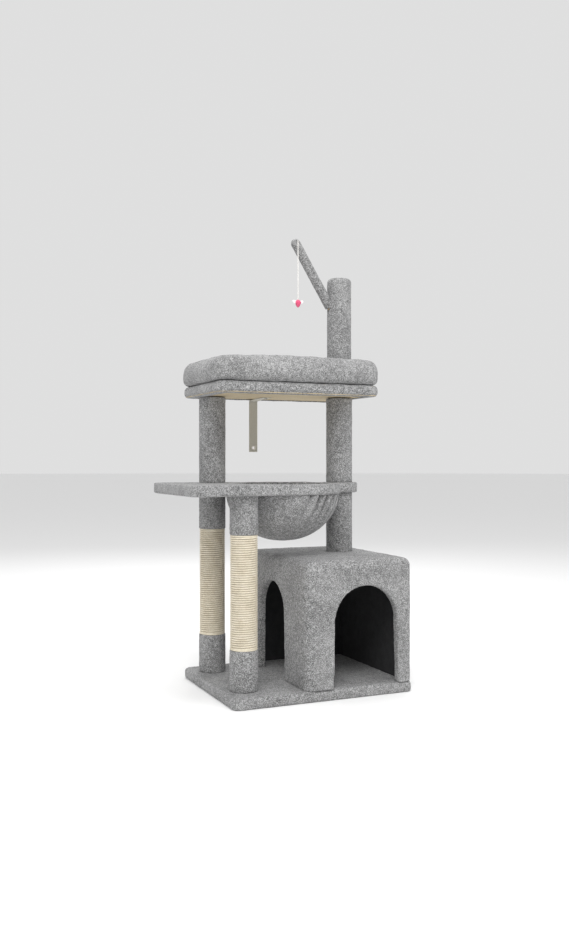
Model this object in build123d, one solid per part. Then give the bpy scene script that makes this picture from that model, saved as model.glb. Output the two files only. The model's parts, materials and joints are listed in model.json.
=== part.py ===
from build123d import *
import math
import os

# Cat tree: base, condo with two doorways, posts, hammock platform with a hanging basket,
# padded perch, toy on a string and a strap that ties the tree to a wall.
# Millimetres. +Z is up, +X is to the right, -Y is to the front.
# The origin is the middle of the base's underside.

# Levels above the floor
base_top = 28
condo_top = 350
platform_bottom, platform_top = 515, 543
perch_bottom, perch_top = 776, 807
post_top = 1109

# Base
base_width, base_depth = 500, 400
base_corner = 18
base_plush = 4
fold_thickness = 2              # plush pressed flat where it turns under a board
fold_width = 30
base_top_round, base_bottom_round = 7, 1.5
felt_corner = 10

# Condo
condo_left, condo_right = -59, 250
condo_front, condo_back = -200, 200
condo_plush = 6
panel = 12
lining = 2
condo_corner = 22
front_door = dict(middle=112, width=180, foot=188, crown=285)
side_door = dict(middle=24, width=166, foot=174, crown=281)
door_lip = 5
core_corner = 16                # corner of the bare wooden box under the plush
door_cut_extra = 4              # the doorways are cut this much deeper than the walls

# Posts
front_left = (-192, -115)
back_left = (-191, 125)
back_right = (148, 26)
post_diameter, top_post_diameter = 72, 67
tube_diameter, top_tube_diameter = 60, 56
tube_wall = 4
plug_length = 20
top_cap, top_round = 6, 9       # plush over the top post's end, and its rounding
rope_diameter = 5
rope_bottom, rope_top = 130, 418

# Hammock platform
ring_centre = (-38, -5)
ring_radius = 155
hole_radius = 126
lobe_radius = 50
notch_radius = 16
platform_left, platform_front, platform_back = -345, -180, 192
platform_corner = 34
platform_plush = 5
platform_round = 12
basket_radius, basket_bottom = 151, 390
basket_wall = 4
basket_rim, hem = 514.8, 2.8    # height of the rim, thickness of the hem sewn under the board

# Perch
perch_left, perch_right = -250, 217
perch_front, perch_back = -91, 215
perch_corner = 30
perch_plush = 4
cushion_top = 879
cushion_overhang = 8
bolster_width = 64
cushion_floor = 836
perch_round = 9
perch_window_corner = 12
cushion_corner, cushion_top_round, cushion_bottom_round = 48, 30, 14
bowl_corner, bowl_floor_round, bowl_rim_round = 34, 16, 20
post_gap = 4                    # the hole in the cushion is this much wider than the post

# Toy arm, string and toy
arm_tip = (15, 26, 1196)
arm_diameter, dowel_diameter = 26, 16
arm_lean = 31.8                 # degrees from upright
dowel_length, arm_length = 222, 230
knot_centre = (15, 10.5, 1199)
knot_radius = 2.3
string_diameter = 2.5
toy_top, toy_bottom = 1040, 1019
toy_radius, toy_knot_radius = 8, 2
wing_half_length, wing_half_height, wing_thickness = 7, 4.5, 2
wing_reach, wing_tilt = 10.5, 25

# Wall strap
strap_x, strap_width, strap_thickness = -42, 25, 2
strap_start = 88
strap_pivot_y, strap_pivot_z = 195.2, 774.5
strap_end_z, eyelet_z = 628, 640
strap_gap = 3.2                 # from the end of the fixed run to the fold
eyelet_bore, eyelet_barrel, eyelet_flange = 5.5, 7.9, 12.5
flange_thickness = 0.8

# Fasteners
bolt_diameter, bolt_head, bolt_head_height = 8, 13, 5.5
washer_diameter, washer_thickness = 24, 2
bolt_grip = 18                  # how far a bolt or stud goes into a post's plug
recess_diameter = 28
base_bolt_face, platform_bolt_face, perch_bolt_face = 10, 530, 795
screw_diameter, screw_head, screw_head_height = 4, 8, 3
base_screw_length, panel_screw_length, strap_screw_length = 42, 34, 24
wall_screw_y, back_screw_x = (-150, 150), (-20, 180)
panel_screw_heights = (75, 190, 305)
screw_access_gap = 4            # the hole in the felt is this much wider than a screw's head

os.makedirs("parts", exist_ok=True)


def save(name, *pieces):
    solids = [solid for piece in pieces for solid in piece.solids()]
    export_step(solids[0] if len(solids) == 1 else Compound(solids), f"parts/{name}.step")


def block(x, y, z):
    low_corner = (Align.MIN, Align.MIN, Align.MIN)
    return Pos(x[0], y[0], z[0]) * Box(x[1] - x[0], y[1] - y[0], z[1] - z[0], align=low_corner)


def soft_block(x, y, z, corner, top=0, bottom=0):
    body = block(x, y, z)
    body = fillet(body.edges().filter_by(Axis.Z), corner)
    if top:
        body = fillet(body.faces().sort_by(Axis.Z)[-1].edges(), top)
    if bottom:
        body = fillet(body.faces().sort_by(Axis.Z)[0].edges(), bottom)
    return body


def rod(centre, z, diameter):
    upright = Cylinder(diameter / 2, z[1] - z[0], align=(Align.CENTER, Align.CENTER, Align.MIN))
    return Pos(centre[0], centre[1], z[0]) * upright


def ring(centre, z, outer, inner):
    return rod(centre, z, outer) - rod(centre, z, inner)


def union(pieces):
    total = pieces[0]
    for piece in pieces[1:]:
        total = total + piece
    return total


# Fasteners: bolts go into one post, studs join two posts through a board

def bolt(centre, face, length, up):
    # The shank runs from the washer's far face; up says which way it points.
    sign = 1 if up else -1
    head_side = face - sign * washer_thickness
    shank = rod(centre, sorted((head_side, face + sign * length)), bolt_diameter)
    head_z = min(head_side, head_side - sign * bolt_head_height)
    hexagon = Pos(centre[0], centre[1], head_z) * RegularPolygon(bolt_head / 2, 6, major_radius=False)
    return shank + extrude(hexagon, bolt_head_height)


def washer(centre, face, up):
    low = face - washer_thickness if up else face
    return ring(centre, (low, low + washer_thickness), washer_diameter, bolt_diameter)


bolt_places = [
    (front_left, base_bolt_face, True, base_top),
    (back_left, base_bolt_face, True, base_top),
    (back_right, condo_top - condo_plush - panel, True, condo_top),
    (front_left, platform_bolt_face, False, platform_bottom),
    (back_left, perch_bolt_face, False, perch_bottom),
]
stud_places = [
    (back_left, platform_bottom, platform_top),
    (back_right, platform_bottom, platform_top),
    (back_right, perch_bottom, perch_top),
]
bolts = [bolt(c, face, abs(end - face) + bolt_grip, up) for c, face, up, end in bolt_places]
washers = [washer(c, face, up) for c, face, up, end in bolt_places]
studs = [rod(c, (low - bolt_grip, high + bolt_grip), bolt_diameter) for c, low, high in stud_places]

wall_middle = condo_plush + panel / 2
side_walls = (condo_left + wall_middle, condo_right - wall_middle)
screw_places = [(x, y) for x in side_walls for y in wall_screw_y]
screw_places += [(x, condo_back - wall_middle) for x in back_screw_x]


def screw_up(x, y, low, length):
    base_down = (Align.CENTER, Align.CENTER, Align.MIN)
    head = Cone(screw_head / 2, screw_diameter / 2, screw_head_height, align=base_down)
    shank_start = low + screw_head_height - 0.1
    return Pos(x, y, low) * head + rod((x, y), (shank_start, low + length), screw_diameter)


def panel_screw(x, y, z, forward):
    # A countersunk screw along Y; forward says that its point is towards -Y.
    turn = Rot(90 if forward else -90, 0, 0)
    return Pos(x, y, z) * (turn * screw_up(0, 0, 0, panel_screw_length))


base_screws = [screw_up(x, y, fold_thickness, base_screw_length) for x, y in screw_places]
panel_screws = []
for x in side_walls:
    for z in panel_screw_heights:
        panel_screws.append(panel_screw(x, condo_front + condo_plush, z, False))
        panel_screws.append(panel_screw(x, condo_back - condo_plush, z, True))

save("post_bolts", *bolts)
save("bolt_washers", *washers)
save("post_studs", *studs)
save("base_screws", *base_screws)
save("condo_panel_screws", *panel_screws)

shanks = union(bolts + washers + studs + base_screws)


# Base

half_width, half_depth = base_width / 2, base_depth / 2


def base_span(inset):
    return (-half_width + inset, half_width - inset), (-half_depth + inset, half_depth - inset)


board_x, board_y = base_span(base_plush)
base_board = soft_block(board_x, board_y, (fold_thickness, base_top - base_plush), base_corner - base_plush)
recesses = [rod(c, (0, base_bolt_face), recess_diameter) for c in (front_left, back_left)]
cover_x, cover_y = base_span(0)
base_cover = soft_block(cover_x, cover_y, (0, base_top), base_corner, base_top_round, base_bottom_round)
base_cover = base_cover - base_board
felt_x, felt_y = base_span(fold_width)
base_felt = soft_block(felt_x, felt_y, (0, fold_thickness), felt_corner)
save("base_plush_cover", base_cover - base_felt - shanks)
save("base_board", base_board - union(recesses) - shanks)
screw_access = [rod(place, (0, fold_thickness), screw_head + screw_access_gap)
                for place in screw_places]
save("base_underside_felt", base_felt - union(recesses + screw_access))


# Condo

def doorway(door, grow=0):
    # The arch stands on the base: straight legs that lean in a little, and a round crown.
    radius = door["width"] / 2 + grow
    spring = door["crown"] - door["width"] / 2
    foot = door["foot"] / 2 + grow
    legs = Polyline((-radius, spring), (-foot, base_top), (foot, base_top), (radius, spring))
    crown = ThreePointArc((radius, spring), (0, spring + radius), (-radius, spring))
    return make_face(legs + crown)


def front_cut(depth, grow=0):
    arch = Plane.XZ.offset(-condo_front + 1) * (Pos(front_door["middle"], 0) * doorway(front_door, grow))
    return extrude(arch, -depth - 1)


def side_cut(depth, grow=0):
    arch = Plane.YZ.offset(condo_left - 1) * (Pos(side_door["middle"], 0) * doorway(side_door, grow))
    return extrude(arch, depth + 1)


def condo_block(inset, corner):
    x = (condo_left + inset, condo_right - inset)
    y = (condo_front + inset, condo_back - inset)
    z = (base_top, condo_top - inset)
    if corner:
        return soft_block(x, y, z, corner, top=corner - 2)
    return block(x, y, z)


wall = condo_plush + panel
outside = condo_block(0, condo_corner)
core = condo_block(condo_plush, core_corner)
cavity = condo_block(wall, 0)
clear_space = condo_block(wall + lining, 0)
open_doors = front_cut(wall + door_cut_extra) + side_cut(wall + door_cut_extra)
panel_doors = front_cut(wall, door_lip) + side_cut(wall, door_lip)
skin = outside - core + ((core - cavity) & panel_doors) - open_doors


def on_door(edge):
    # Door edges lie wholly on a wall's outer face, inside its outline.
    box = edge.bounding_box()
    front = abs(box.max.Y - condo_front) < 0.01 and -30 < box.min.X and box.max.X < 225
    side = abs(box.max.X - condo_left) < 0.01 and -150 < box.min.Y and box.max.Y < 150
    return (front or side) and box.max.Z > base_top + 1


door_edges = skin.edges().filter_by(on_door)
skin = fillet(door_edges, door_lip - 1)
save("condo_plush_skin", skin - shanks - union(panel_screws))

inner_z = condo_top - wall
walls = core - cavity - panel_doors - shanks - union(panel_screws)
high = (inner_z, condo_top)
low = (base_top, inner_z)
whole_x, whole_y = (condo_left, condo_right), (condo_front, condo_back)
front_y, back_y = (condo_front, condo_front + wall), (condo_back - wall, condo_back)
between_y = (condo_front + wall, condo_back - wall)
save("condo_top_panel", walls & block(whole_x, whole_y, high))
save("condo_front_panel", walls & block(whole_x, front_y, low))
save("condo_back_panel", walls & block(whole_x, back_y, low))
save("condo_left_panel", walls & block((condo_left, condo_left + wall), between_y, low))
save("condo_right_panel", walls & block((condo_right - wall, condo_right), between_y, low))
bolt_access = rod(back_right, (inner_z - 20, inner_z), recess_diameter)
save("condo_lining", cavity - clear_space - open_doors - bolt_access)


# Posts

def post(name, centre, z, sleeves, tube=tube_diameter, outer=post_diameter, cut=None):
    bore = tube - 2 * tube_wall
    tube_piece = ring(centre, z, tube, bore)
    if cut:
        tube_piece = tube_piece - cut
    save(f"{name}_tube", tube_piece)
    ends = [rod(centre, (z[0], z[0] + plug_length), bore), rod(centre, (z[1] - plug_length, z[1]), bore)]
    save(f"{name}_plugs", *[end - shanks for end in ends])
    for sleeve, span in sleeves.items():
        save(f"{name}_{sleeve}", ring(centre, span, outer, tube))


rope_outer = tube_diameter + 2 * rope_diameter
for name, centre in (("front_left_post", front_left), ("back_left_post", back_left)):
    cuffs = {"lower_cuff": (base_top, rope_bottom), "upper_sleeve": (rope_top, platform_bottom)}
    post(name, centre, (base_top, platform_bottom), cuffs)
    save(f"{name}_sisal_rope", ring(centre, (rope_bottom, rope_top), rope_outer, tube_diameter))

low_post, high_post = (condo_top, platform_bottom), (platform_top, perch_bottom)
post("back_right_lower_post", back_right, low_post, {"sleeve": low_post})
post("back_right_upper_post", back_right, high_post, {"sleeve": high_post})
post("back_left_upper_post", back_left, high_post, {"sleeve": high_post})


# Toy arm: a dowel let into the top post, with a plush sleeve closed over its tip

lean = Rot(0, -arm_lean, 0)
arm_place = Pos(*arm_tip) * lean
down_arm = (Align.CENTER, Align.CENTER, Align.MAX)
dowel = arm_place * Cylinder(dowel_diameter / 2, dowel_length, align=down_arm)
arm_sleeve = arm_place * (Cylinder(arm_diameter / 2, arm_length, align=down_arm) + Sphere(arm_diameter / 2))
top_post_round = rod(back_right, (perch_top, post_top), top_post_diameter)
anchor_y = (knot_centre[1] + knot_radius + 0.5, arm_tip[1])
anchor_length = anchor_y[1] - anchor_y[0]
anchor = Cylinder(string_diameter / 2, anchor_length, align=(Align.CENTER, Align.CENTER, Align.MAX))
anchor = Pos(knot_centre[0], anchor_y[0], arm_tip[2]) * (Rot(90, 0, 0) * anchor)
save("toy_arm_dowel", dowel - anchor)
save("toy_arm_sleeve", arm_sleeve - dowel - top_post_round - anchor)
save("string_anchor", anchor)

post("top_post", back_right, (perch_top, post_top - top_cap), {}, tube=top_tube_diameter, cut=dowel)
top_rim = top_post_round.faces().sort_by(Axis.Z)[-1].edges()
top_sleeve = fillet(top_rim, top_round) - rod(back_right, (perch_top, post_top - top_cap), top_tube_diameter)
save("top_post_sleeve", top_sleeve - dowel)


# String and toy, which swing from the knot at the arm's tip

def ball(centre, radius):
    return Pos(*centre) * Sphere(radius)


string_x, string_y = knot_centre[0], knot_centre[1]
string_start = knot_centre[2] - knot_radius - 0.3
toy_knot_z = toy_top + toy_knot_radius
string_end = toy_knot_z + toy_knot_radius - 0.2
save("string_knot", ball(knot_centre, knot_radius))
string = rod((string_x, string_y), (string_end, string_start), string_diameter)
string_length = string_start - string_end
print("string", round(string_length, 1), "mm long, one straight run")
toy_knot = ball((string_x, string_y, toy_knot_z), toy_knot_radius)
save("toy_string", string - toy_knot)
body_z = toy_top - toy_radius
tail_length = body_z - 3 - toy_bottom
tail = Cone(0.8, toy_radius * 0.92, tail_length, align=(Align.CENTER, Align.CENTER, Align.MIN))
toy_body = ball((string_x, string_y, body_z), toy_radius) + Pos(string_x, string_y, toy_bottom) * tail
toy_body = toy_body - toy_knot
wings = []
for side in (-1, 1):
    oval = Rot(0, 0, side * wing_tilt) * Ellipse(wing_half_length, wing_half_height)
    outline = Plane.XZ * (Pos(side * wing_reach, 0) * oval)
    wing = Pos(string_x, string_y + 1, body_z + 2) * extrude(outline, wing_thickness)
    wings.append(wing - toy_body)
save("toy_knot", toy_knot)
save("toy_body", toy_body)
save("toy_wings", *wings)


# Hammock platform: the board narrows from its left end to a ring, with a lobe round the right post

def tangent_point(point, centre, radius, side):
    dx, dy = point[0] - centre[0], point[1] - centre[1]
    angle = math.atan2(dy, dx) + side * math.acos(radius / math.hypot(dx, dy))
    return centre[0] + radius * math.cos(angle), centre[1] + radius * math.sin(angle)


def on_circle(vertex, centre, radius):
    return abs(math.hypot(vertex.X - centre[0], vertex.Y - centre[1]) - radius) < 0.01


def platform_outline(inset):
    ring_r, lobe_r = ring_radius - inset, lobe_radius - inset
    front_corner = (platform_left + inset, platform_front + inset)
    back_corner = (platform_left + inset, platform_back - inset)
    front_tangent = tangent_point(front_corner, ring_centre, ring_r, 1)
    back_tangent = tangent_point(back_corner, ring_centre, ring_r, -1)
    outline = make_face(Polyline(front_corner, front_tangent, back_tangent, back_corner, close=True))
    outline = fillet(outline.vertices().group_by(Axis.X)[0], platform_corner - inset)
    outline = outline + Pos(*ring_centre) * Circle(ring_r) + Pos(*back_right) * Circle(lobe_r)
    notches = [v for v in outline.vertices()
               if on_circle(v, ring_centre, ring_r) and on_circle(v, back_right, lobe_r)]
    return fillet(notches, notch_radius + inset)


def platform_slab(outline, z, hole):
    slab = extrude(Pos(0, 0, z[0]) * outline, z[1] - z[0])
    return slab - rod(ring_centre, z, 2 * hole)


platform_block = platform_slab(platform_outline(0), (platform_bottom, platform_top), hole_radius)
rims = platform_block.faces().sort_by(Axis.Z)[-1].edges() + platform_block.faces().sort_by(Axis.Z)[0].edges()
platform_block = fillet(rims, platform_round)
core_z = (platform_bottom + platform_plush, platform_top - platform_plush)
platform_board = platform_slab(platform_outline(platform_plush), core_z, hole_radius + platform_plush)
platform_recess = rod(front_left, (platform_bolt_face, core_z[1]), recess_diameter)
save("platform_plush_cover", platform_block - platform_board - shanks)
save("platform_board", platform_board - platform_recess - shanks)

outer_points = ((0, basket_bottom), (84, 416), (134, 462), (basket_radius, basket_rim))
outer_curve = Spline(*outer_points, tangents=((1, 0), (0.1, 1)))
inner_rim = (basket_radius - basket_wall, basket_rim - hem)
hem_edge = hole_radius + 3
flange = Polyline(outer_points[-1], (hem_edge, basket_rim), (hem_edge, basket_rim - hem), inner_rim)
inner_points = (inner_rim, (130, 464), (82, 420), (0, basket_bottom + basket_wall))
inner_curve = Spline(*inner_points, tangents=((-0.1, -1), (-1, 0)))
axis_line = Line((0, basket_bottom + basket_wall), (0, basket_bottom))
basket_face = Plane.XZ * make_face(outer_curve + flange + inner_curve + axis_line)
save("hammock_basket", Pos(*ring_centre) * revolve(basket_face, Axis.Z))


# Perch

perch_x, perch_y = (perch_left, perch_right), (perch_front, perch_back)


def grow_span(span, amount):
    return span[0] - amount, span[1] + amount


perch_core = soft_block(grow_span(perch_x, -perch_plush), grow_span(perch_y, -perch_plush),
                        (perch_bottom + fold_thickness, perch_top - perch_plush), perch_corner - perch_plush)
perch_window = soft_block(grow_span(perch_x, -fold_width), grow_span(perch_y, -fold_width),
                          (perch_bottom, perch_bottom + fold_thickness), perch_window_corner)
perch_wrap = soft_block(perch_x, perch_y, (perch_bottom, perch_top), perch_corner,
                        perch_round, perch_round)
perch_recess = rod(back_left, (perch_bolt_face, perch_top - perch_plush), recess_diameter)
strap_screw_y = strap_start + 12
strap_screw = screw_up(strap_x, strap_screw_y, 773.6, strap_screw_length)
save("perch_plush_wrap", perch_wrap - perch_core - perch_window - shanks)
save("perch_board", perch_core - perch_recess - shanks - strap_screw)

cushion = soft_block(grow_span(perch_x, cushion_overhang), grow_span(perch_y, cushion_overhang),
                     (perch_top + 0.3, cushion_top), cushion_corner, cushion_top_round, cushion_bottom_round)
bowl = soft_block(grow_span(perch_x, cushion_overhang - bolster_width),
                  grow_span(perch_y, cushion_overhang - bolster_width),
                  (cushion_floor, cushion_top + 1), bowl_corner, bottom=bowl_floor_round)
cushion = cushion - bowl
bowl_rim = cushion.edges().filter_by(lambda e: abs(e.center().Z - cushion_top) < 0.01
                                     and abs(e.bounding_box().max.Z - cushion_top) < 0.01
                                     and grow_span(perch_x, -50)[0] < e.center().X < perch_right - 50
                                     and grow_span(perch_y, -50)[0] < e.center().Y < perch_back - 50)
cushion = fillet(bowl_rim, bowl_rim_round)
save("perch_cushion", cushion - rod(back_right, (perch_top, cushion_top), top_post_diameter + post_gap))


# Wall strap: a fixed run under the perch, and a run that hangs from the fold

half_strap = strap_thickness / 2
fixed_run = [(strap_start, 777), (150, 777), (180, strap_pivot_z), (strap_pivot_y - strap_gap, strap_pivot_z)]


def strap_run(points, thickness):
    upper = [(y, z + thickness / 2) for y, z in points]
    lower = [(y, z - thickness / 2) for y, z in reversed(points)]
    side = Plane.YZ.offset(strap_x - strap_width / 2) * make_face(Polyline(*upper, *lower, close=True))
    return extrude(side, strap_width)


save("wall_strap_fixed", strap_run(fixed_run, strap_thickness) - strap_screw)
save("wall_strap_screw", strap_screw)
hanging_x = (strap_x - strap_width / 2, strap_x + strap_width / 2)
hanging_y = (strap_pivot_y - half_strap, strap_pivot_y + half_strap)
hanging = block(hanging_x, hanging_y, (strap_end_z, strap_pivot_z - 1.2))
across = Pos(strap_x, strap_pivot_y, eyelet_z) * Rot(90, 0, 0)
barrel = across * Cylinder(eyelet_barrel / 2, strap_thickness + 2 * flange_thickness)
flange_y = half_strap + flange_thickness / 2
flanges = [Pos(0, side * flange_y, 0) * (across * Cylinder(eyelet_flange / 2, flange_thickness))
           for side in (-1, 1)]
eyelet = barrel + flanges[0] + flanges[1] - across * Cylinder(eyelet_bore / 2, 10)
save("wall_strap_hanging", hanging - barrel)
save("wall_strap_eyelet", eyelet)
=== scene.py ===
import json
import math

import bmesh
import bpy
from mathutils import Matrix, Vector, noise


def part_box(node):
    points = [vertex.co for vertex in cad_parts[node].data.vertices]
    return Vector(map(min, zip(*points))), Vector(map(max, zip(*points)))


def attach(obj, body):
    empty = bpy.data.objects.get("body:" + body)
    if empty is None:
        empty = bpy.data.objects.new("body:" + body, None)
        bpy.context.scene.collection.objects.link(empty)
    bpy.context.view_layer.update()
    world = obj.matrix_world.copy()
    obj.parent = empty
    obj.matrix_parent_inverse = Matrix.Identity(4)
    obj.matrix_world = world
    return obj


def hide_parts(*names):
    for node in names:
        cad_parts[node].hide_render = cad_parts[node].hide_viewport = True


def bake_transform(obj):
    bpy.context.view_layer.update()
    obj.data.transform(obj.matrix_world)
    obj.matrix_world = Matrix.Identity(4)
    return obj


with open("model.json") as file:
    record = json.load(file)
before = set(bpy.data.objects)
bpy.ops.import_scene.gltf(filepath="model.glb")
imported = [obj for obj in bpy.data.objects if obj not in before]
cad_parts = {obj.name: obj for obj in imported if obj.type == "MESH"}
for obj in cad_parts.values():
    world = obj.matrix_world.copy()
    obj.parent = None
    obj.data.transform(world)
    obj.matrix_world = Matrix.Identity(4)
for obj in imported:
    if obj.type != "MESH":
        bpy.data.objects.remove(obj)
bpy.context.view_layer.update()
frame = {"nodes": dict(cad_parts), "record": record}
scene = bpy.context.scene


# helpers ---

def makeObject(name, bm):
    mesh = bpy.data.meshes.new(name)
    bm.to_mesh(mesh)
    bm.free()
    piece = bpy.data.objects.new(name, mesh)
    scene.collection.objects.link(piece)
    return piece


def settle(piece):
    # what the modifiers make becomes the mesh
    graph = bpy.context.evaluated_depsgraph_get()
    mesh = bpy.data.meshes.new_from_object(piece.evaluated_get(graph))
    piece.modifiers.clear()
    piece.data = mesh
    return piece


def combine(piece, tool, operation):
    step = piece.modifiers.new(operation, "BOOLEAN")
    step.operation = operation
    step.solver = "EXACT"
    step.object = tool
    settle(piece)
    bpy.data.objects.remove(tool)
    return piece


def evenGrid(piece, voxel, smooth=4):
    # an even net of small faces over the whole form, softened a little
    step = piece.modifiers.new("grid", "REMESH")
    step.mode = "VOXEL"
    step.voxel_size = voxel
    settle(piece)
    if smooth:
        step = piece.modifiers.new("soften", "SMOOTH")
        step.iterations = smooth
        settle(piece)
    return piece


def ruffle(piece, broad, fine, seed=0.0):
    # plush is never quite even: low waves, and tufts that stand a little proud
    shift = Vector((seed, seed * 1.7, -seed))
    mesh = piece.data
    normals = [vertex.normal.copy() for vertex in mesh.vertices]
    flat = []
    for vertex, normal in zip(mesh.vertices, normals):
        wave = noise.noise(vertex.co * 38 + shift) * broad
        tuft = noise.noise(vertex.co * 290 + shift) * fine
        flat.extend(vertex.co + normal * (wave + tuft))
    mesh.vertices.foreach_set("co", flat)
    mesh.update()
    return piece


def box(bm, low, high):
    made = bmesh.ops.create_cube(bm, size=1)["verts"]
    size = [high[i] - low[i] for i in range(3)]
    bmesh.ops.scale(bm, vec=size, verts=made)
    middle = [(high[i] + low[i]) / 2 for i in range(3)]
    bmesh.ops.translate(bm, vec=middle, verts=made)
    return made


def bevelEdges(bm, edges, width, segments):
    bmesh.ops.bevel(bm, geom=edges, offset=width, segments=segments, affect="EDGES",
                    profile=0.5, material=-1)


def upright(edge):
    a, b = (vertex.co for vertex in edge.verts)
    return abs(a.x - b.x) < 1e-6 and abs(a.y - b.y) < 1e-6


def level(edge, z):
    return all(abs(vertex.co.z - z) < 1e-6 for vertex in edge.verts)


def softSlab(name, low, high, corner, top, bottom):
    bm = bmesh.new()
    box(bm, low, high)
    bevelEdges(bm, [e for e in bm.edges if upright(e)], corner, 10)
    if top:
        bevelEdges(bm, [e for e in bm.edges if level(e, high[2])], top, 6)
    if bottom:
        bevelEdges(bm, [e for e in bm.edges if level(e, low[2])], bottom, 5)
    return makeObject(name, bm)


def drum(name, centre, z, radius, segments=96):
    bm = bmesh.new()
    bmesh.ops.create_cone(bm, cap_ends=True, segments=segments, radius1=radius, radius2=radius,
                          depth=z[1] - z[0])
    bmesh.ops.translate(bm, vec=(centre[0], centre[1], (z[0] + z[1]) / 2), verts=bm.verts)
    return makeObject(name, bm)


def spun(name, profile, centre, steps, closed=True):
    # turns a line of (radius, height) points about an upright axis
    bm = bmesh.new()
    ring = [bm.verts.new((centre[0] + r, centre[1], z)) for r, z in profile]
    ends = ring[1:] + ring[:1] if closed else ring[1:]
    edges = [bm.edges.new(pair) for pair in zip(ring, ends)]
    bmesh.ops.spin(bm, geom=ring + edges, cent=(centre[0], centre[1], 0), axis=(0, 0, 1),
                   dvec=(0, 0, 0), angle=2 * math.pi, steps=steps, use_merge=True)
    bmesh.ops.remove_doubles(bm, verts=bm.verts, dist=1e-6)
    bmesh.ops.recalc_face_normals(bm, faces=bm.faces)
    return makeObject(name, bm)


def dress(piece, material, nodes, body="frame"):
    piece.data.materials.clear()
    piece.data.materials.append(material)
    piece.data.shade_smooth()
    if nodes:
        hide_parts(*nodes)
    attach(piece, body)
    return piece


def middleOf(node):
    low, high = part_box(node)
    return (low.x + high.x) / 2, (low.y + high.y) / 2


# materials ---

def newMaterial(name):
    material = bpy.data.materials.new(name)
    material.use_nodes = True
    tree = material.node_tree
    shader = tree.nodes["Principled BSDF"]
    place = tree.nodes.new("ShaderNodeTexCoord")
    return material, tree, shader, place.outputs["Object"]


def addNoise(tree, place, size, detail=3.0, rough=0.6, stretch=None):
    # size is the width of one patch in metres
    if stretch:
        mapping = tree.nodes.new("ShaderNodeMapping")
        mapping.inputs["Scale"].default_value = stretch
        tree.links.new(place, mapping.inputs["Vector"])
        place = mapping.outputs["Vector"]
    node = tree.nodes.new("ShaderNodeTexNoise")
    node.inputs["Scale"].default_value = 1 / size
    node.inputs["Detail"].default_value = detail
    node.inputs["Roughness"].default_value = rough
    tree.links.new(place, node.inputs["Vector"])
    return node.outputs["Fac"]


def weigh(tree, parts):
    # a weighted sum of several values
    total = None
    for value, weight in parts:
        node = tree.nodes.new("ShaderNodeMath")
        node.operation = "MULTIPLY_ADD"
        node.inputs[1].default_value = weight
        tree.links.new(value, node.inputs[0])
        if total is None:
            node.inputs[2].default_value = 0
        else:
            tree.links.new(total, node.inputs[2])
        total = node.outputs[0]
    return total


def addRamp(tree, value, stops):
    node = tree.nodes.new("ShaderNodeValToRGB")
    ramp = node.color_ramp
    while len(ramp.elements) < len(stops):
        ramp.elements.new(0.5)
    for element, (at, color) in zip(ramp.elements, stops):
        element.position = at
        element.color = (*color, 1)
    tree.links.new(value, node.inputs["Fac"])
    return node.outputs["Color"]


def addBump(tree, shader, height, distance, strength):
    node = tree.nodes.new("ShaderNodeBump")
    node.inputs["Distance"].default_value = distance
    node.inputs["Strength"].default_value = strength
    tree.links.new(height, node.inputs["Height"])
    tree.links.new(node.outputs["Normal"], shader.inputs["Normal"])


def grey(level, warm=0.0):
    return (level * (1 + warm), level, level * (1 - warm * 0.5))


plushLook = {
    "fleck": 0.0023,       # width of one fleck of lighter or darker pile
    "clump": 0.0085,       # width of a tuft of pile
    "patch": 0.09,         # slow change of tone over the cloth
    "dark": 0.070,
    "middle": 0.215,
    "light": 0.50,
    "sheen": 0.16,
    "pileHeight": 0.0016,
}


def plushMaterial(name, tone=1.0, fleck=1.0):
    look = plushLook
    material, tree, shader, place = newMaterial(name)
    flecks = addNoise(tree, place, look["fleck"] * fleck, 2.5, 0.7)
    clumps = addNoise(tree, place, look["clump"], 3, 0.65)
    patches = addNoise(tree, place, look["patch"], 2, 0.5)
    mix = weigh(tree, [(flecks, 0.70), (clumps, 0.22), (patches, 0.10)])
    stops = [(0.38, grey(look["dark"] * tone)), (0.50, grey(look["middle"] * tone)),
             (0.62, grey(look["light"] * tone))]
    color = addRamp(tree, mix, stops)
    tree.links.new(color, shader.inputs["Base Color"])
    shader.inputs["Roughness"].default_value = 0.96
    shader.inputs["Specular IOR Level"].default_value = 0.12
    shader.inputs["Sheen Weight"].default_value = look["sheen"]
    shader.inputs["Sheen Roughness"].default_value = 0.55
    shader.inputs["Sheen Tint"].default_value = (0.9, 0.9, 0.92, 1)
    pile = weigh(tree, [(flecks, 0.6), (clumps, 0.6)])
    addBump(tree, shader, pile, look["pileHeight"], 0.85)
    return material


def sisalMaterial():
    # pale fibres that run round the post, a little bleached in places
    material, tree, shader, place = newMaterial("sisalRope")
    fibres = addNoise(tree, place, 0.004, 4, 0.75, stretch=(1, 1, 6))
    bleach = addNoise(tree, place, 0.022, 3, 0.6)
    mix = weigh(tree, [(fibres, 0.72), (bleach, 0.28)])
    stops = [(0.32, (0.44, 0.38, 0.27)), (0.48, (0.74, 0.67, 0.53)), (0.66, (0.88, 0.83, 0.72))]
    tree.links.new(addRamp(tree, mix, stops), shader.inputs["Base Color"])
    shader.inputs["Roughness"].default_value = 0.9
    shader.inputs["Specular IOR Level"].default_value = 0.2
    shader.inputs["Sheen Weight"].default_value = 0.12
    addBump(tree, shader, fibres, 0.0006, 0.8)
    return material


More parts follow.
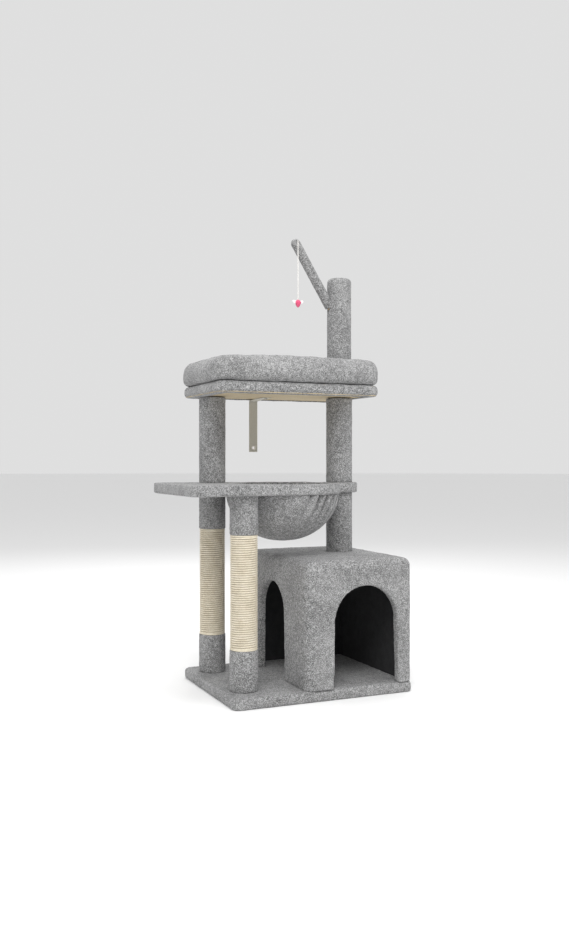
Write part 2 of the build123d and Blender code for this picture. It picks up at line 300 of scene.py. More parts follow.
def woodMaterial(name, dark, light, grain=(1, 1, 1), size=0.004):
    material, tree, shader, place = newMaterial(name)
    chips = addNoise(tree, place, size, 4, 0.65, stretch=grain)
    clouds = addNoise(tree, place, 0.05, 2, 0.5)
    mix = weigh(tree, [(chips, 0.75), (clouds, 0.25)])
    tree.links.new(addRamp(tree, mix, [(0.3, dark), (0.7, light)]), shader.inputs["Base Color"])
    shader.inputs["Roughness"].default_value = 0.72
    shader.inputs["Specular IOR Level"].default_value = 0.3
    addBump(tree, shader, chips, 0.0004, 0.5)
    return material


def metalMaterial(name, color, roughness):
    material, tree, shader, place = newMaterial(name)
    scratches = addNoise(tree, place, 0.0015, 3, 0.7, stretch=(1, 1, 6))
    lighter = tuple(min(1, c * 1.15) for c in color)
    darker = tuple(c * 0.8 for c in color)
    tree.links.new(addRamp(tree, scratches, [(0.3, darker), (0.7, lighter)]), shader.inputs["Base Color"])
    shader.inputs["Metallic"].default_value = 1.0
    shader.inputs["Roughness"].default_value = roughness
    addBump(tree, shader, scratches, 0.0001, 0.4)
    return material


def feltMaterial(name, dark, light, sheen=0.2):
    material, tree, shader, place = newMaterial(name)
    fuzz = addNoise(tree, place, 0.0012, 4, 0.75)
    clouds = addNoise(tree, place, 0.02, 3, 0.6)
    mix = weigh(tree, [(fuzz, 0.7), (clouds, 0.3)])
    tree.links.new(addRamp(tree, mix, [(0.32, dark), (0.68, light)]), shader.inputs["Base Color"])
    shader.inputs["Roughness"].default_value = 0.97
    shader.inputs["Specular IOR Level"].default_value = 0.1
    shader.inputs["Sheen Weight"].default_value = sheen
    addBump(tree, shader, fuzz, 0.0006, 0.6)
    return material


def webbingMaterial():
    # ribs run across the strap, with a finer twill along it
    material, tree, shader, place = newMaterial("strapWebbing")
    uv = tree.nodes.new("ShaderNodeUVMap").outputs["UV"]
    ribs = tree.nodes.new("ShaderNodeTexWave")
    ribs.bands_direction = "Y"
    ribs.inputs["Scale"].default_value = 260
    ribs.inputs["Distortion"].default_value = 0.6
    tree.links.new(uv, ribs.inputs["Vector"])
    twill = tree.nodes.new("ShaderNodeTexWave")
    twill.bands_direction = "X"
    twill.inputs["Scale"].default_value = 190
    tree.links.new(uv, twill.inputs["Vector"])
    fuzz = addNoise(tree, place, 0.0016, 3, 0.7)
    mix = weigh(tree, [(ribs.outputs["Fac"], 0.35), (twill.outputs["Fac"], 0.25), (fuzz, 0.5)])
    stops = [(0.25, (0.46, 0.44, 0.37)), (0.8, (0.66, 0.64, 0.57))]
    tree.links.new(addRamp(tree, mix, stops), shader.inputs["Base Color"])
    shader.inputs["Roughness"].default_value = 0.8
    shader.inputs["Specular IOR Level"].default_value = 0.25
    shader.inputs["Sheen Weight"].default_value = 0.15
    addBump(tree, shader, mix, 0.0005, 0.8)
    return material


finishes = {
    "board_plush": plushMaterial("boardPlush"),
    "condo_plush": plushMaterial("condoPlush", 0.98),
    "post_plush": plushMaterial("postPlush", 0.98),
    "basket_plush": plushMaterial("basketPlush", 0.95),
    "cushion_plush": plushMaterial("cushionPlush", 1.0, 0.85),
    "sisal_rope": sisalMaterial(),
    "cardboard": woodMaterial("cardboard", (0.30, 0.21, 0.13), (0.50, 0.38, 0.25), (1, 1, 8), 0.003),
    "turned_wood": woodMaterial("turnedWood", (0.42, 0.29, 0.16), (0.70, 0.54, 0.34), (1, 8, 8), 0.02),
    "particle_board": woodMaterial("particleBoard", (0.40, 0.32, 0.19), (0.60, 0.50, 0.33)),
    "zinc_steel": metalMaterial("zincSteel", (0.62, 0.62, 0.64), 0.35),
    "eyelet_metal": metalMaterial("eyeletMetal", (0.55, 0.52, 0.47), 0.3),
    # the near-black of this felt is painted shade where it lines the inside of the condo, standing in for
    # the dim light in there
    "dark_felt": feltMaterial("darkFeltAndPaintedShade", (0.014, 0.014, 0.0148), (0.050, 0.050, 0.053), 0.05),
    "strap_webbing": webbingMaterial(),
    "string_white": feltMaterial("stringWhite", (0.62, 0.60, 0.57), (0.92, 0.90, 0.87)),
    "toy_felt": feltMaterial("toyFelt", (0.62, 0.03, 0.12), (0.86, 0.20, 0.32)),
    "toy_wing_felt": feltMaterial("toyWingFelt", (0.74, 0.70, 0.72), (0.93, 0.90, 0.91)),
}
slotOf = {part["node"]: part["material_slot"] for part in frame["record"]["subparts"]}
for nodeName, node in frame["nodes"].items():
    node.data.materials.clear()
    node.data.materials.append(finishes[slotOf[nodeName]])
print("materials made")


# base ---

turnedPlush = 0.0018         # thickness of plush where it turns under a board

base = {"corner": 0.018, "topEdge": 0.008, "bottomEdge": 0.004, "foldWidth": 0.030, "grid": 0.0035}


def openBelow(piece, window, thickness):
    # the plush turns under the board and leaves its middle bare
    bm = bmesh.new()
    bm.from_mesh(piece.data)
    floor = min(vertex.co.z for vertex in bm.verts)
    low, high = window
    bare = []
    for face in bm.faces:
        middle = face.calc_center_median()
        inside = low[0] < middle.x < high[0] and low[1] < middle.y < high[1]
        if inside and middle.z < floor + 0.003:
            bare.append(face)
    bmesh.ops.delete(bm, geom=bare, context="FACES")
    bm.to_mesh(piece.data)
    bm.free()
    step = piece.modifiers.new("thickness", "SOLIDIFY")
    step.thickness = thickness
    step.offset = -1
    return settle(piece)


low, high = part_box("base_plush_cover")
baseTop = high.z
basePlush = softSlab("basePlush", low, high, base["corner"], base["topEdge"], base["bottomEdge"])
evenGrid(basePlush, base["grid"], 3)
fold = base["foldWidth"]
window = ((low.x + fold, low.y + fold), (high.x - fold, high.y - fold))
openBelow(basePlush, window, turnedPlush)
ruffle(basePlush, 0.0007, 0.0005, 1.0)
for vertex in basePlush.data.vertices:
    vertex.co.z = max(vertex.co.z, 0.0)
dress(basePlush, finishes["board_plush"], ["base_plush_cover"])
print("base made")


# condo ---

condo = {
    "corner": 0.024,
    "topEdge": 0.021,
    "wall": 0.018,
    "skin": 0.0048,
    "crown": 0.0015,       # how much the lid rises towards its middle
    "frontDoor": {"middle": 0.112, "width": 0.178, "foot": 0.186, "crown": 0.284},
    "sideDoor": {"middle": 0.024, "width": 0.164, "foot": 0.172, "crown": 0.280},
    "grid": 0.0040,
}


def doorTools(door, depth, turn, place):
    spring = door["crown"] - door["width"] / 2
    arch = bmesh.new()
    bmesh.ops.create_cone(arch, cap_ends=True, segments=96, radius1=door["width"] / 2,
                          radius2=door["width"] / 2, depth=2 * depth)
    bmesh.ops.rotate(arch, matrix=Matrix.Rotation(math.pi / 2, 3, "X"), verts=arch.verts)
    bmesh.ops.translate(arch, vec=(0, 0, spring), verts=arch.verts)
    legs = bmesh.new()
    half = door["width"] / 2
    box(legs, (-half, -depth, baseTop - 0.01), (half, depth, spring))
    spread = door["foot"] / door["width"]
    feet = [vertex for vertex in legs.verts if vertex.co.z < spring - 0.01]
    bmesh.ops.scale(legs, vec=(spread, 1, 1), verts=feet)
    for bm in (arch, legs):
        bmesh.ops.rotate(bm, matrix=Matrix.Rotation(turn, 3, "Z"), verts=bm.verts)
        bmesh.ops.translate(bm, vec=place, verts=bm.verts)
    return makeObject("arch", arch), makeObject("legs", legs)


low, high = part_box("condo_plush_skin")
condoLow, condoHigh = low.copy(), high.copy()
foot = (low.x, low.y, low.z - condo["grid"])
condoPlush = softSlab("condoPlush", foot, high, condo["corner"], condo["topEdge"], 0)
wall = condo["wall"]
frontDoor, sideDoor = condo["frontDoor"], condo["sideDoor"]
pocket = wall + 0.012
for tool in doorTools(frontDoor, pocket, 0, (frontDoor["middle"], low.y, 0)):
    combine(condoPlush, tool, "DIFFERENCE")
for tool in doorTools(sideDoor, pocket, math.pi / 2, (low.x, sideDoor["middle"], 0)):
    combine(condoPlush, tool, "DIFFERENCE")
evenGrid(condoPlush, condo["grid"], 3)


def openDoors(piece):
    # the plush ends in a straight line at the inner face of each wall
    bm = bmesh.new()
    bm.from_mesh(piece.data)
    innerX, innerY = condoLow.x + wall, condoLow.y + wall
    cuts = (((innerX, 0, 0), (1, 0, 0)), ((0, innerY, 0), (0, 1, 0)), ((0, 0, condoLow.z), (0, 0, 1)))
    for place, normal in cuts:
        everything = bm.verts[:] + bm.edges[:] + bm.faces[:]
        bmesh.ops.bisect_plane(bm, geom=everything, plane_co=place, plane_no=normal, dist=1e-6)
    shut = []
    for face in bm.faces:
        middle = face.calc_center_median()
        front = (innerY < middle.y < innerY + 0.02 and abs(middle.x - frontDoor["middle"]) < 0.102
                 and middle.z < frontDoor["crown"] + 0.008)
        side = (innerX < middle.x < innerX + 0.02 and abs(middle.y - sideDoor["middle"]) < 0.096
                and middle.z < sideDoor["crown"] + 0.008)
        if front or side or middle.z < condoLow.z:
            shut.append(face)
    bmesh.ops.delete(bm, geom=shut, context="FACES")
    bm.to_mesh(piece.data)
    bm.free()


openDoors(condoPlush)
halfWidth, halfDepth = (condoHigh.x - condoLow.x) / 2, (condoHigh.y - condoLow.y) / 2
centreX, centreY = middleOf("condo_plush_skin")
for vertex in condoPlush.data.vertices:
    if vertex.co.z > condoHigh.z - 0.002:
        acrossX = max(0, 1 - ((vertex.co.x - centreX) / halfWidth) ** 4)
        acrossY = max(0, 1 - ((vertex.co.y - centreY) / halfDepth) ** 4)
        vertex.co.z += condo["crown"] * acrossX * acrossY
step = condoPlush.modifiers.new("thickness", "SOLIDIFY")
step.thickness = condo["skin"]
step.offset = -1
settle(condoPlush)
ruffle(condoPlush, 0.0009, 0.0005, 2.0)
dress(condoPlush, finishes["condo_plush"], ["condo_plush_skin"])
print("condo made")


# posts ---

post = {"endRound": 0.0022, "steps": 72, "row": 0.004, "seam": 0.0012}


def sleeve(name, node, bore, top=0.0):
    low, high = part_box(node)
    outer = (high.x - low.x) / 2
    turn = post["endRound"]
    rows = max(2, round((high.z - low.z) / post["row"]))
    profile = [(bore, low.z), (outer - turn, low.z), (outer - turn * 0.3, low.z + turn * 0.3)]
    shoulder = top or turn
    for i in range(rows + 1):
        profile.append((outer, low.z + turn + (high.z - shoulder - low.z - turn) * i / rows))
    if top:
        for i in range(1, 8):
            angle = math.pi / 2 * i / 8
            profile.append((outer - top + top * math.cos(angle), high.z - top + top * math.sin(angle)))
        for r in (outer - top, outer * 0.55, outer * 0.35, outer * 0.15, 0.0):
            profile.append((r, high.z))
        profile += [(0.0, high.z - 0.006), (bore, high.z - 0.006)]
    else:
        profile += [(outer - turn * 0.3, high.z - turn * 0.3), (outer - turn, high.z), (bore, high.z)]
    piece = spun(name, profile, middleOf(node), post["steps"])
    # the sleeve's seam runs down its back
    centreX, centreY = middleOf(node)
    for vertex in piece.data.vertices:
        if abs(vertex.co.x - centreX) < 0.001 and vertex.co.y > centreY + bore + 0.003:
            vertex.co.y -= post["seam"]
    return piece


tubeRadius = (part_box("front_left_post_tube")[1].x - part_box("front_left_post_tube")[0].x) / 2
sleeves = {
    "frontLeftCuff": "front_left_post_lower_cuff",
    "frontLeftSleeve": "front_left_post_upper_sleeve",
    "backLeftCuff": "back_left_post_lower_cuff",
    "backLeftSleeve": "back_left_post_upper_sleeve",
    "backLeftUpperSleeve": "back_left_upper_post_sleeve",
    "backRightLowerSleeve": "back_right_lower_post_sleeve",
    "backRightUpperSleeve": "back_right_upper_post_sleeve",
}
for count, (name, node) in enumerate(sleeves.items()):
    piece = sleeve(name, node, tubeRadius)
    ruffle(piece, 0.0005, 0.0005, 3.0 + count)
    dress(piece, finishes["post_plush"], [node])

topSleeve = sleeve("topPostSleeve", "top_post_sleeve", tubeRadius, top=0.011)
ruffle(topSleeve, 0.0005, 0.0005, 11.0)
dress(topSleeve, finishes["post_plush"], ["top_post_sleeve"])
print("post sleeves made")


# sisal rope ---

rope = {"pitch": 0.0056, "strand": 0.00150, "lay": 0.0165, "perTurn": 76}


def ropeWinding(name, node):
    # three twisted strands, wound side by side up the tube
    low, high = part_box(node)
    centreX, centreY = middleOf(node)
    outer = (high.x - low.x) / 2
    winding = (outer + tubeRadius) / 2
    margin = rope["strand"] * 1.7
    turns = (high.z - low.z - 2 * margin) / rope["pitch"] + 2
    swing = (outer - tubeRadius) / 2 - rope["strand"]
    count = int(turns * rope["perTurn"])
    curve = bpy.data.curves.new(name, "CURVE")
    curve.dimensions = "3D"
    curve.bevel_depth = rope["strand"]
    curve.bevel_resolution = 1
    curve.use_fill_caps = True
    for strand in range(3):
        spline = curve.splines.new("POLY")
        spline.points.add(count)
        for i in range(count + 1):
            angle = 2 * math.pi * i / rope["perTurn"]
            run = winding * angle
            twist = 2 * math.pi * (run / rope["lay"] + strand / 3)
            radius = winding + swing * math.cos(twist)
            # the first and last turns lie level against the cuffs
            climb = low.z + margin + rope["pitch"] * (i / rope["perTurn"] - 1)
            lift = min(max(climb, low.z + margin), high.z - margin) + swing * math.sin(twist)
            point = (centreX + radius * math.cos(angle), centreY + radius * math.sin(angle), lift, 1)
            spline.points[i].co = point
    holder = bpy.data.objects.new(name, curve)
    scene.collection.objects.link(holder)
    graph = bpy.context.evaluated_depsgraph_get()
    mesh = bpy.data.meshes.new_from_object(holder.evaluated_get(graph))
    bpy.data.objects.remove(holder)
    piece = bpy.data.objects.new(name, mesh)
    scene.collection.objects.link(piece)
    return piece


ropes = {"frontLeftRope": "front_left_post_sisal_rope", "backLeftRope": "back_left_post_sisal_rope"}
for name, node in ropes.items():
    piece = ropeWinding(name, node)
    dress(piece, finishes["sisal_rope"], [node])
    print(name, len(piece.data.polygons), "faces")


# hammock platform ---

platform = {
    "ringRadius": 0.155,
    "holeRadius": 0.126,
    "lobeRadius": 0.050,
    "left": -0.345,
    "front": -0.180,
    "back": 0.192,
    "corner": 0.034,
    "notch": 0.016,
    "edge": 0.0130,
    "grid": 0.0035,
}
ringCentre = middleOf("hammock_basket")
lobeCentre = middleOf("back_right_lower_post_sleeve")
low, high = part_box("platform_plush_cover")
platformZ = (low.z, high.z)


def platformSlab():
    # the board is the hull of its rounded left end and the ring
    bm = bmesh.new()
    size = platform
    depth = platformZ[1] - platformZ[0]
    middleZ = (platformZ[0] + platformZ[1]) / 2
    corners = [(size["left"] + size["corner"], size["front"] + size["corner"], size["corner"])]
    corners.append((size["left"] + size["corner"], size["back"] - size["corner"], size["corner"]))
    corners.append((*ringCentre, size["ringRadius"]))
    for x, y, radius in corners:
        made = bmesh.ops.create_cone(bm, cap_ends=True, segments=96, radius1=radius,
                                     radius2=radius, depth=depth)
        bmesh.ops.translate(bm, vec=(x, y, middleZ), verts=made["verts"])
    hull = bmesh.ops.convex_hull(bm, input=bm.verts)
    loose = {g for g in hull["geom_interior"] if isinstance(g, bmesh.types.BMVert)}
    bmesh.ops.delete(bm, geom=list(loose), context="VERTS")
    kept = set(hull["geom"])
    spare = [face for face in bm.faces if face not in kept]
    bmesh.ops.delete(bm, geom=spare, context="FACES")
    bmesh.ops.dissolve_limit(bm, angle_limit=math.radians(1), verts=bm.verts, edges=bm.edges)
    return makeObject("platformPlush", bm)


platformPlush = platformSlab()
combine(platformPlush, drum("lobe", lobeCentre, platformZ, platform["lobeRadius"]), "UNION")
wide = (platformZ[0] - 0.01, platformZ[1] + 0.01)


def fillNotches(piece):
    # a round hollow on each side, where the lobe meets the ring
    between = Vector((lobeCentre[0] - ringCentre[0], lobeCentre[1] - ringCentre[1], 0))
    apart, turn = between.length, math.atan2(between.y, between.x)
    ringReach = platform["ringRadius"] + platform["notch"]
    lobeReach = platform["lobeRadius"] + platform["notch"]
    along = (apart ** 2 + ringReach ** 2 - lobeReach ** 2) / (2 * apart)
    aside = math.sqrt(ringReach ** 2 - along ** 2)
    web = bmesh.new()
    box(web, (along - 0.03, -aside, platformZ[0]), (apart, aside, platformZ[1]))
    near = [vertex for vertex in web.verts if vertex.co.x > along]
    bmesh.ops.scale(web, vec=(1, 0.72, 1), verts=near)
    bmesh.ops.rotate(web, matrix=Matrix.Rotation(turn, 3, "Z"), verts=web.verts)
    bmesh.ops.translate(web, vec=(*ringCentre, 0), verts=web.verts)
    filler = makeObject("filler", web)
    for side in (-1, 1):
        place = Matrix.Rotation(turn, 3, "Z") @ Vector((along, side * aside, 0))
        centre = (ringCentre[0] + place.x, ringCentre[1] + place.y)
        combine(filler, drum("hollow", centre, wide, platform["notch"]), "DIFFERENCE")
    return combine(piece, filler, "UNION")


fillNotches(platformPlush)
combine(platformPlush, drum("hole", ringCentre, wide, platform["holeRadius"], 128), "DIFFERENCE")
step = platformPlush.modifiers.new("edge", "BEVEL")
step.width = platform["edge"]
step.segments = 6
step.limit_method = "ANGLE"
step.angle_limit = math.radians(40)
settle(platformPlush)
evenGrid(platformPlush, platform["grid"], 5)
ruffle(platformPlush, 0.0008, 0.0005, 4.0)
dress(platformPlush, finishes["board_plush"], ["platform_plush_cover"])
print("platform made", len(platformPlush.data.polygons), "faces")


# hammock basket ---

basket = {
    "columns": 420,
    "rows": 56,
    "thickness": 0.003,
    "pleat": 0.0280,            # depth of the deepest fold
    "gathers": (303, 62, 178),  # degrees about the ring where the cloth is gathered
    "gatherSpread": 40,
    "foldCount": 30,
    "lean": 0.34,               # how far a fold leans back on its way down, in radians
}


def gatherAt(degrees):
    nearest = min(abs((degrees - g + 180) % 360 - 180) for g in basket["gathers"])
    share = max(0.0, 1 - (nearest / basket["gatherSpread"]) ** 2)
    return share ** 0.7


def foldAt(angle, height, wander):
    # round ridges with narrow valleys between them, from 0 on a ridge to -1 in a valley
    turn = angle + basket["lean"] * (1 - height) + wander
    return abs(math.sin(turn * basket["foldCount"] / 2)) ** 0.55 - 1


def basketPiece():
    low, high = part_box("hammock_basket")
    reach = (high.x - low.x) / 2
    depth = high.z - low.z
    rows = basket["rows"]
    profile = []
    for i in range(rows + 1):
        t = i / rows
        drop = math.cos(math.pi / 2 * t) ** 1.12
        profile.append((reach * math.sin(math.pi / 2 * t) ** 0.92, high.z - depth * drop))
    piece = spun("hammockBasket", profile, ringCentre, basket["columns"], closed=False)
    for vertex in piece.data.vertices:
        dx, dy = vertex.co.x - ringCentre[0], vertex.co.y - ringCentre[1]
        radius = math.hypot(dx, dy)
        if radius < 0.004:
            continue
        angle = math.atan2(dy, dx)
        height = (vertex.co.z - low.z) / depth
        wander = noise.noise(Vector((dx * 16, dy * 16, 5))) * 0.09
        gather = gatherAt(math.degrees(angle))
        strength = basket["pleat"] * gather * max(0.0, height - 0.22) ** 0.8
        fold = strength * foldAt(angle, height, wander)
        sag = noise.noise(Vector((dx * 18, dy * 18, 3))) * 0.0022 * (1 - height)
        move = fold + sag
        vertex.co.x += dx / radius * move
        vertex.co.y += dy / radius * move
    piece.data.update()
    step = piece.modifiers.new("thickness", "SOLIDIFY")
    step.thickness = basket["thickness"]
    step.offset = -1
    settle(piece)
    return ruffle(piece, 0.0004, 0.0003, 5.0)


hammockBasket = basketPiece()
dress(hammockBasket, finishes["basket_plush"], ["hammock_basket"])
print("basket made", len(hammockBasket.data.polygons), "faces")


# perch ---

perch = {"corner": 0.030, "edge": 0.0115, "foldWidth": 0.030, "grid": 0.0035}
low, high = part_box("perch_plush_wrap")
perchPlush = softSlab("perchPlush", low, high, perch["corner"], perch["edge"], perch["edge"])
evenGrid(perchPlush, perch["grid"], 3)
fold = perch["foldWidth"]
window = ((low.x + fold, low.y + fold), (high.x - fold, high.y - fold))
openBelow(perchPlush, window, turnedPlush)
ruffle(perchPlush, 0.0009, 0.0005, 6.0)
dress(perchPlush, finishes["board_plush"], ["perch_plush_wrap"])

cushion = {
    "slack": 0.002,            # the shape starts this much smaller and is blown up like a stuffed cover
    "corner": 0.050, "topEdge": 0.032, "bottomEdge": 0.013,
    "bolster": 0.070, "floor": 0.026, "bowlCorner": 0.040,
    "postGap": 0.002, "grid": 0.0056,
    "pressure": 4.0, "cap": 0.011,
    "leftDip": 0.006,          # the left front corner is pressed lower than the rest
}


def blowUp(piece, held, pressure, cap):
    # cloth under pressure gives the cover its fullness and creases
    start = [vertex.co.copy() for vertex in piece.data.vertices]
    group = piece.vertex_groups.new(name="sewn")
    group.add([i for i, place in enumerate(start) if held(place)], 1.0, "REPLACE")
    step = piece.modifiers.new("cloth", "CLOTH")
    cloth = step.settings
    cloth.quality = 4
    cloth.mass = 0.3
    cloth.tension_stiffness = 12
    cloth.compression_stiffness = 12
    cloth.bending_stiffness = 0.6
    cloth.use_pressure = True
    cloth.uniform_pressure_force = pressure
    cloth.effector_weights.gravity = 0
    cloth.vertex_group_mass = "sewn"
    for frameNumber in range(1, 21):
        scene.frame_set(frameNumber)
    settle(piece)
    scene.frame_set(1)
    flat = []
    for vertex, place in zip(piece.data.vertices, start):
        move = vertex.co - place
        if move.length > cap:
            move *= cap / move.length
        flat.extend(place + move)
    piece.data.vertices.foreach_set("co", flat)
    piece.data.update()
    step = piece.modifiers.new("finer", "SUBSURF")
    step.levels = step.render_levels = 1
    settle(piece)
    return piece


low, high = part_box("perch_cushion")
slack = cushion["slack"]
perchCushion = softSlab("perchCushion", (low.x + slack, low.y + slack, low.z),
                        (high.x - slack, high.y - slack, high.z - slack), cushion["corner"] - slack,
                        cushion["topEdge"], cushion["bottomEdge"])
inset = cushion["bolster"]
bowlLow = (low.x + inset, low.y + inset, low.z + cushion["floor"])
bowlHigh = (high.x - inset, high.y - inset, high.z + 0.03)
combine(perchCushion, softSlab("bowl", bowlLow, bowlHigh, cushion["bowlCorner"], 0, 0.012), "DIFFERENCE")
postRadius = (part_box("top_post_sleeve")[1].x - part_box("top_post_sleeve")[0].x) / 2
hole = drum("hole", lobeCentre, (low.z - 0.01, high.z + 0.01), postRadius + cushion["postGap"])
combine(perchCushion, hole, "DIFFERENCE")
evenGrid(perchCushion, cushion["grid"], 12)


def sewn(place):
    # held along the underside, round the post, and where the roll meets the pad
    nearPost = math.hypot(place.x - lobeCentre[0], place.y - lobeCentre[1]) < postRadius + 0.009
    gapX = min(place.x - bowlLow[0], bowlHigh[0] - place.x)
    gapY = min(place.y - bowlLow[1], bowlHigh[1] - place.y)
    footOfRoll = -0.001 < min(gapX, gapY) < 0.006 and place.z < bowlLow[2] + 0.012
    return nearPost or footOfRoll or place.z < low.z + 0.003


blowUp(perchCushion, sewn, cushion["pressure"], cushion["cap"])
for vertex in perchCushion.data.vertices:
    share = max(0.0, (vertex.co.z - low.z) / (high.z - low.z))
    toLeft = max(0.0, 1 - (vertex.co.x - low.x) / 0.17)
    toFront = min(1.0, max(0.0, 1 - (vertex.co.y - low.y) / 0.2))
    vertex.co.z -= cushion["leftDip"] * toLeft ** 1.3 * (0.45 + 0.55 * toFront) * share ** 2
ruffle(perchCushion, 0.0016, 0.0004, 7.0)
dress(perchCushion, finishes["cushion_plush"], ["perch_cushion"])
print("perch made", len(perchCushion.data.polygons), "faces")


# toy arm ---

armSleeveLow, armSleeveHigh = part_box("toy_arm_sleeve")
arm = {"radius": 0.013, "lean": math.radians(31.8), "steps": 40, "row": 0.004, "foot": 0.197}


def armSleeve():
    # a straight sleeve with a domed tip, made upright and then leaned over
    middleY = middleOf("toy_arm_sleeve")[1]
    tip = Vector((armSleeveLow.x + arm["radius"], middleY, armSleeveHigh.z - arm["radius"]))
    profile = []
    rows = round(arm["foot"] / arm["row"])
    for i in range(rows + 1):
        profile.append((arm["radius"], -arm["foot"] * (1 - i / rows)))
    for i in range(1, 9):
        angle = math.pi / 2 * i / 8
        profile.append((arm["radius"] * math.cos(angle), arm["radius"] * math.sin(angle)))
    piece = spun("toyArmSleeve", profile, (0, 0), arm["steps"], closed=False)
    lean = Matrix.Translation(tip) @ Matrix.Rotation(-arm["lean"], 4, "Y")
    piece.data.transform(lean)
    return piece


toyArmSleeve = armSleeve()
ruffle(toyArmSleeve, 0.0004, 0.0004, 8.0)
dress(toyArmSleeve, finishes["post_plush"], ["toy_arm_sleeve"])
print("toy arm made")


# string and toy ---

def stringRoute():
    low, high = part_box("toy_string")
    x, y = middleOf("toy_string")
    return [(x, y, high.z * share + low.z * (1 - share)) for share in (1, 0.7, 0.35, 0)]


def makeString():
    route = stringRoute()
    curve = bpy.data.curves.new("toyString", "CURVE")
    curve.dimensions = "3D"
    spline = curve.splines.new("NURBS")
    spline.points.add(len(route) - 1)
    for point, place in zip(spline.points, route):
        point.co = (*place, 1)
    spline.order_u = 3
    spline.use_endpoint_u = True
    curve.bevel_depth = 0.00125
    curve.bevel_resolution = 3
    curve.use_fill_caps = True
    piece = bpy.data.objects.new("toyString", curve)
    scene.collection.objects.link(piece)
    piece.data.materials.append(finishes["string_white"])
    return piece


toyString = makeString()
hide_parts("toy_string")
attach(toyString, "toy")



def tube(name, points, radius, cyclic=False):
    curve = bpy.data.curves.new(name, "CURVE")
    curve.dimensions = "3D"
    curve.bevel_depth = radius
    curve.bevel_resolution = 2
    curve.use_fill_caps = not cyclic
    spline = curve.splines.new("POLY")
    spline.points.add(len(points) - 1)
    spline.use_cyclic_u = cyclic
    for point, place in zip(spline.points, points):
        point.co = (*place, 1)
    holder = bpy.data.objects.new(name, curve)
    scene.collection.objects.link(holder)
    graph = bpy.context.evaluated_depsgraph_get()
    mesh = bpy.data.meshes.new_from_object(holder.evaluated_get(graph))
    bpy.data.objects.remove(holder)
    piece = bpy.data.objects.new(name, mesh)
    scene.collection.objects.link(piece)
    return piece


def knot(name, node, body):
    # a pulled-tight overhand knot, as big as the node it stands for
    low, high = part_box(node)
    centre = (low + high) / 2
    size = (high.z - low.z) / 2
    points = []
    for i in range(72):
        t = 2 * math.pi * i / 72
        across = math.sin(t) + 2 * math.sin(2 * t)
        along = math.cos(t) - 2 * math.cos(2 * t)
        loop = Vector((across, along, -1.4 * math.sin(3 * t)))
        points.append(centre + loop * size * 0.2)
    piece = tube(name, points, size * 0.4, cyclic=True)
    return dress(piece, finishes["string_white"], [node], body)


knot("armKnot", "string_knot", "knot")
knot("toyKnot", "toy_knot", "toy")
low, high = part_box("string_anchor")
anchorX, anchorZ = (low.x + high.x) / 2, (low.z + high.z) / 2
anchorPoints = [(anchorX, low.y + (high.y - low.y) * i / 12, anchorZ) for i in range(13)]
anchorString = tube("anchorString", anchorPoints, (high.z - low.z) / 2)
dress(anchorString, finishes["string_white"], ["string_anchor"])

toy = {"wingSize": (0.0066, 0.0013, 0.0046), "wingReach": 0.0102, "wingTilt": math.radians(25)}
low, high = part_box("toy_body")
bodyCentre = (low + high) / 2
bodyRadius = (high.x - low.x) / 2
profile = []
for i in range(25):
    angle = math.pi * i / 24
    height = math.cos(angle)
    girth = math.sin(angle) * (1 - 0.30 * max(0.0, -height))
    drop = bodyRadius if height > 0 else high.z - low.z - bodyRadius
    profile.append((max(0.0, bodyRadius * girth), high.z - bodyRadius + height * drop))
toyBody = spun("toyBody", profile, (bodyCentre.x, bodyCentre.y), 40, closed=False)
ruffle(toyBody, 0.0002, 0.0004, 9.0)
dress(toyBody, finishes["toy_felt"], ["toy_body"], "toy")

low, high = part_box("toy_wings")
wings = bmesh.new()
for side in (-1, 1):
    made = bmesh.ops.create_uvsphere(wings, u_segments=28, v_segments=18, radius=1)["verts"]
    bmesh.ops.scale(wings, vec=toy["wingSize"], verts=made)
    bmesh.ops.rotate(wings, matrix=Matrix.Rotation(-side * toy["wingTilt"], 3, "Y"), verts=made)
    place = ((low.x + high.x) / 2 + side * toy["wingReach"], (low.y + high.y) / 2, (low.z + high.z) / 2)
    bmesh.ops.translate(wings, vec=place, verts=made)
toyWings = makeObject("toyWings", wings)
ruffle(toyWings, 0.0002, 0.0003, 10.0)
dress(toyWings, finishes["toy_wing_felt"], ["toy_wings"], "toy")
print("toy made")


# wall strap ---

strap = {"across": 10, "step": 0.002, "bend": 0.0032, "thin": 0.85, "eyeletHole": 0.0039}


def strapRoute():
    # the middle line, in (y, z): under the perch, over the fold and down
    fixedLow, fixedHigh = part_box("wall_strap_fixed")
    hangLow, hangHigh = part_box("wall_strap_hanging")
    half = (hangHigh.y - hangLow.y) / 2
    foldY, foldZ = (hangLow.y + hangHigh.y) / 2, fixedLow.z + half
    boardZ = fixedHigh.z - half
    corners = [(fixedLow.y, boardZ), (0.150, boardZ), (0.180, foldZ), (fixedHigh.y, foldZ)]
    bend = foldY - fixedHigh.y
    for i in range(1, 7):
        angle = math.pi / 2 * i / 6
        corners.append((fixedHigh.y + bend * math.sin(angle), foldZ - bend * (1 - math.cos(angle))))
    corners.append((foldY, hangLow.z))
    route = [corners[0]]
    for a, b in zip(corners, corners[1:]):
        pieces = max(1, round(math.hypot(b[0] - a[0], b[1] - a[1]) / strap["step"]))
        for k in range(1, pieces + 1):
            route.append((a[0] + (b[0] - a[0]) * k / pieces, a[1] + (b[1] - a[1]) * k / pieces))
    return route


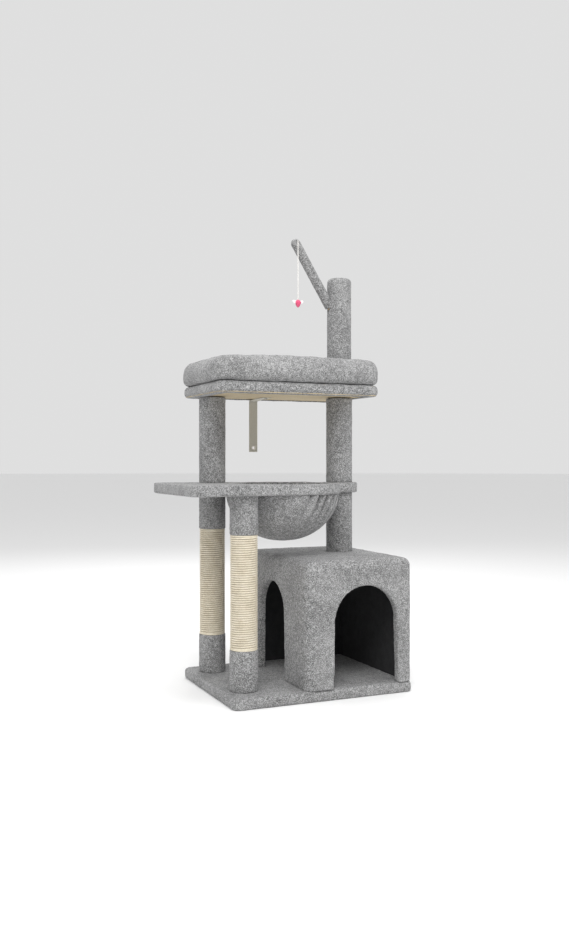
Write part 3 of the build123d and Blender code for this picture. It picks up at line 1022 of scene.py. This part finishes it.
def strapPiece():
    low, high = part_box("wall_strap_hanging")
    route = strapRoute()
    bm = bmesh.new()
    uv = bm.loops.layers.uv.new("UVMap")
    count = strap["across"]
    run, rows, runs = 0.0, [], []
    for index, (y, z) in enumerate(route):
        if index:
            run += math.dist(route[index - 1], route[index])
        runs.append(run)
        row = [bm.verts.new((low.x + (high.x - low.x) * k / count, y, z)) for k in range(count + 1)]
        rows.append(row)
    where = {}
    for i, row in enumerate(rows):
        for k, vertex in enumerate(row):
            where[vertex] = (k / count * (high.x - low.x), runs[i])
    for i in range(len(rows) - 1):
        for k in range(count):
            face = bm.faces.new((rows[i][k], rows[i][k + 1], rows[i + 1][k + 1], rows[i + 1][k]))
            for loop in face.loops:
                loop[uv].uv = where[loop.vert]
    piece = makeObject("wallStrap", bm)
    step = piece.modifiers.new("thickness", "SOLIDIFY")
    step.thickness = (high.y - low.y) * strap["thin"]
    step.offset = 0
    settle(piece)
    eyeletLow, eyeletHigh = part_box("wall_strap_eyelet")
    hole = drum("hole", (0, 0), (-0.01, 0.01), strap["eyeletHole"], 48)
    hole.data.transform(Matrix.Rotation(math.pi / 2, 4, "X"))
    hole.data.transform(Matrix.Translation((eyeletLow + eyeletHigh) / 2))
    combine(piece, hole, "DIFFERENCE")
    return piece, run


wallStrap, strapLength = strapPiece()
wallStrap.data.materials.clear()
wallStrap.data.materials.append(finishes["strap_webbing"])
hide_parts("wall_strap_fixed", "wall_strap_hanging")
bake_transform(wallStrap)
print("strap made", round(strapLength, 4))


# camera, light and floor ---

view = {"place": (-1.049, -2.3085, 0.6048), "turn": math.radians(-23.82), "lens": 35.58, "shiftY": -0.0158}
cameraData = bpy.data.cameras.new("camera")
cameraData.lens = view["lens"]
cameraData.sensor_width = 36
cameraData.shift_y = view["shiftY"]
camera = bpy.data.objects.new("camera", cameraData)
camera.location = view["place"]
camera.rotation_euler = (math.pi / 2, 0, view["turn"])
scene.collection.objects.link(camera)
scene.camera = camera

studio = {
    "key": {"place": (-1.3, -2.3, 3.2), "size": 1.6, "power": 74},
    "fill": {"place": (2.2, -2.0, 1.3), "size": 2.4, "power": 14},
    "rim": {"place": (0.6, 2.4, 2.4), "size": 2.0, "power": 26},
    "top": {"place": (0.1, -0.3, 3.4), "size": 1.6, "power": 26},
    "sky": 0.74,
}
for name in ("key", "fill", "rim", "top"):
    lamp = studio[name]
    lampData = bpy.data.lights.new(name, "AREA")
    lampData.energy = lamp["power"]
    lampData.size = lamp["size"]
    lampObject = bpy.data.objects.new(name, lampData)
    lampObject.location = lamp["place"]
    aim = Vector((0, 0, 0.55)) - Vector(lamp["place"])
    lampObject.rotation_euler = aim.to_track_quat("-Z", "Y").to_euler()
    scene.collection.objects.link(lampObject)
world = bpy.data.worlds.new("studio")
world.use_nodes = True
world.node_tree.nodes["Background"].inputs["Color"].default_value = (1, 1, 1, 1)
world.node_tree.nodes["Background"].inputs["Strength"].default_value = studio["sky"]
scene.world = world
scene.view_settings.view_transform = "Standard"

bm = bmesh.new()
bmesh.ops.create_circle(bm, cap_ends=True, segments=64, radius=40)
floor = makeObject("floor", bm)
floorMaterial, tree, shader, place = newMaterial("paleFloor")
shader.inputs["Base Color"].default_value = (0.9, 0.9, 0.9, 1)
shader.inputs["Roughness"].default_value = 0.9
floor.data.materials.append(floorMaterial)
print("stage made")
